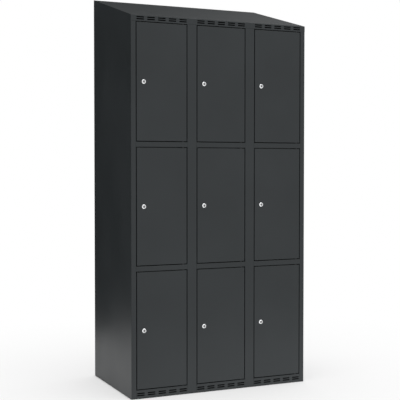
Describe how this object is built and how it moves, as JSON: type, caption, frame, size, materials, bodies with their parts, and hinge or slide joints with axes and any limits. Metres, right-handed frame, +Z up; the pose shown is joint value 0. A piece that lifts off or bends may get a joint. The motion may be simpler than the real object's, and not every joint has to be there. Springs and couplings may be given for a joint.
{
  "type": "locker cabinet",
  "caption": "Free-standing steel locker cabinet with flush hinged doors, cam locks, vent slots and a sloping roof.",
  "frame": {"origin": "middle of the base, on the floor plane, halfway between the sides and between the front face and the back", "axes": "+Z up; -Y out of the doors; +Y towards the wall behind; +X to the right seen from the front"},
  "size_m": [0.9, 0.5432, 1.8895],
  "materials": {
    "powder_coat": "anthracite grey semi-gloss powder coat with a fine orange-peel texture",
    "lock_chrome": "bright chrome plate",
    "lock_core_metal": "satin nickel plate",
    "zinc_steel": "bright zinc plate",
    "black_steel": "black oxide on turned steel",
    "nylon": "black moulded nylon",
    "buffer_rubber": "black rubber"
  },
  "bodies": {
    "carcass": {"left_side_panel": "powder_coat", "right_side_panel": "powder_coat", "left_partition": "powder_coat", "right_partition": "powder_coat", "left_mullion": "powder_coat", "right_mullion": "powder_coat", "back_panel": "powder_coat", "floor_pan": "powder_coat", "ceiling_pan": "powder_coat", "sloping_roof": "powder_coat", "vented_sills": "powder_coat", "lower_shelves": "powder_coat", "upper_shelves": "powder_coat", "hinge_bushes": "nylon", "door_buffers": "buffer_rubber"},
    "bottom_left_door": {"bottom_left_door_panel": "powder_coat", "bottom_left_door_pivot_pins": "black_steel", "bottom_left_door_lock_housing": "lock_chrome"},
    "bottom_left_lock": {"bottom_left_door_lock_core": "lock_core_metal", "bottom_left_door_lock_cam": "zinc_steel"},
    "bottom_centre_door": {"bottom_centre_door_panel": "powder_coat", "bottom_centre_door_pivot_pins": "black_steel", "bottom_centre_door_lock_housing": "lock_chrome"},
    "bottom_centre_lock": {"bottom_centre_door_lock_core": "lock_core_metal", "bottom_centre_door_lock_cam": "zinc_steel"},
    "bottom_right_door": {"bottom_right_door_panel": "powder_coat", "bottom_right_door_pivot_pins": "black_steel", "bottom_right_door_lock_housing": "lock_chrome"},
    "bottom_right_lock": {"bottom_right_door_lock_core": "lock_core_metal", "bottom_right_door_lock_cam": "zinc_steel"},
    "middle_left_door": {"middle_left_door_panel": "powder_coat", "middle_left_door_pivot_pins": "black_steel", "middle_left_door_lock_housing": "lock_chrome"},
    "middle_left_lock": {"middle_left_door_lock_core": "lock_core_metal", "middle_left_door_lock_cam": "zinc_steel"},
    "middle_centre_door": {"middle_centre_door_panel": "powder_coat", "middle_centre_door_pivot_pins": "black_steel", "middle_centre_door_lock_housing": "lock_chrome"},
    "middle_centre_lock": {"middle_centre_door_lock_core": "lock_core_metal", "middle_centre_door_lock_cam": "zinc_steel"},
    "middle_right_door": {"middle_right_door_panel": "powder_coat", "middle_right_door_pivot_pins": "black_steel", "middle_right_door_lock_housing": "lock_chrome"},
    "middle_right_lock": {"middle_right_door_lock_core": "lock_core_metal", "middle_right_door_lock_cam": "zinc_steel"},
    "top_left_door": {"top_left_door_panel": "powder_coat", "top_left_door_pivot_pins": "black_steel", "top_left_door_lock_housing": "lock_chrome"},
    "top_left_lock": {"top_left_door_lock_core": "lock_core_metal", "top_left_door_lock_cam": "zinc_steel"},
    "top_centre_door": {"top_centre_door_panel": "powder_coat", "top_centre_door_pivot_pins": "black_steel", "top_centre_door_lock_housing": "lock_chrome"},
    "top_centre_lock": {"top_centre_door_lock_core": "lock_core_metal", "top_centre_door_lock_cam": "zinc_steel"},
    "top_right_door": {"top_right_door_panel": "powder_coat", "top_right_door_pivot_pins": "black_steel", "top_right_door_lock_housing": "lock_chrome"},
    "top_right_lock": {"top_right_door_lock_core": "lock_core_metal", "top_right_door_lock_cam": "zinc_steel"}
  },
  "joints": [
    {"name": "bottom_left_door_hinge", "type": "hinge", "parent": "carcass", "child": "bottom_left_door", "pos_m": [-0.193, -0.262, 0.3105], "axis": [0, 0, 1], "range_deg": [0, 110]},
    {"name": "bottom_left_lock_turn", "type": "hinge", "parent": "bottom_left_door", "child": "bottom_left_lock", "pos_m": [-0.3885, -0.26, 0.3105], "axis": [0, 1, 0], "range_deg": [0, 90]},
    {"name": "bottom_centre_door_hinge", "type": "hinge", "parent": "carcass", "child": "bottom_centre_door", "pos_m": [0.107, -0.262, 0.3105], "axis": [0, 0, 1], "range_deg": [0, 110]},
    {"name": "bottom_centre_lock_turn", "type": "hinge", "parent": "bottom_centre_door", "child": "bottom_centre_lock", "pos_m": [-0.0885, -0.26, 0.3105], "axis": [0, 1, 0], "range_deg": [0, 90]},
    {"name": "bottom_right_door_hinge", "type": "hinge", "parent": "carcass", "child": "bottom_right_door", "pos_m": [0.407, -0.262, 0.3105], "axis": [0, 0, 1], "range_deg": [0, 110]},
    {"name": "bottom_right_lock_turn", "type": "hinge", "parent": "bottom_right_door", "child": "bottom_right_lock", "pos_m": [0.2115, -0.26, 0.3105], "axis": [0, 1, 0], "range_deg": [0, 90]},
    {"name": "middle_left_door_hinge", "type": "hinge", "parent": "carcass", "child": "middle_left_door", "pos_m": [-0.193, -0.262, 0.876], "axis": [0, 0, 1], "range_deg": [0, 110]},
    {"name": "middle_left_lock_turn", "type": "hinge", "parent": "middle_left_door", "child": "middle_left_lock", "pos_m": [-0.3885, -0.26, 0.876], "axis": [0, 1, 0], "range_deg": [0, 90]},
    {"name": "middle_centre_door_hinge", "type": "hinge", "parent": "carcass", "child": "middle_centre_door", "pos_m": [0.107, -0.262, 0.876], "axis": [0, 0, 1], "range_deg": [0, 110]},
    {"name": "middle_centre_lock_turn", "type": "hinge", "parent": "middle_centre_door", "child": "middle_centre_lock", "pos_m": [-0.0885, -0.26, 0.876], "axis": [0, 1, 0], "range_deg": [0, 90]},
    {"name": "middle_right_door_hinge", "type": "hinge", "parent": "carcass", "child": "middle_right_door", "pos_m": [0.407, -0.262, 0.876], "axis": [0, 0, 1], "range_deg": [0, 110]},
    {"name": "middle_right_lock_turn", "type": "hinge", "parent": "middle_right_door", "child": "middle_right_lock", "pos_m": [0.2115, -0.26, 0.876], "axis": [0, 1, 0], "range_deg": [0, 90]},
    {"name": "top_left_door_hinge", "type": "hinge", "parent": "carcass", "child": "top_left_door", "pos_m": [-0.193, -0.262, 1.4415], "axis": [0, 0, 1], "range_deg": [0, 110]},
    {"name": "top_left_lock_turn", "type": "hinge", "parent": "top_left_door", "child": "top_left_lock", "pos_m": [-0.3885, -0.26, 1.4415], "axis": [0, 1, 0], "range_deg": [0, 90]},
    {"name": "top_centre_door_hinge", "type": "hinge", "parent": "carcass", "child": "top_centre_door", "pos_m": [0.107, -0.262, 1.4415], "axis": [0, 0, 1], "range_deg": [0, 110]},
    {"name": "top_centre_lock_turn", "type": "hinge", "parent": "top_centre_door", "child": "top_centre_lock", "pos_m": [-0.0885, -0.26, 1.4415], "axis": [0, 1, 0], "range_deg": [0, 90]},
    {"name": "top_right_door_hinge", "type": "hinge", "parent": "carcass", "child": "top_right_door", "pos_m": [0.407, -0.262, 1.4415], "axis": [0, 0, 1], "range_deg": [0, 110]},
    {"name": "top_right_lock_turn", "type": "hinge", "parent": "top_right_door", "child": "top_right_lock", "pos_m": [0.2115, -0.26, 1.4415], "axis": [0, 1, 0], "range_deg": [0, 90]}
  ]
}
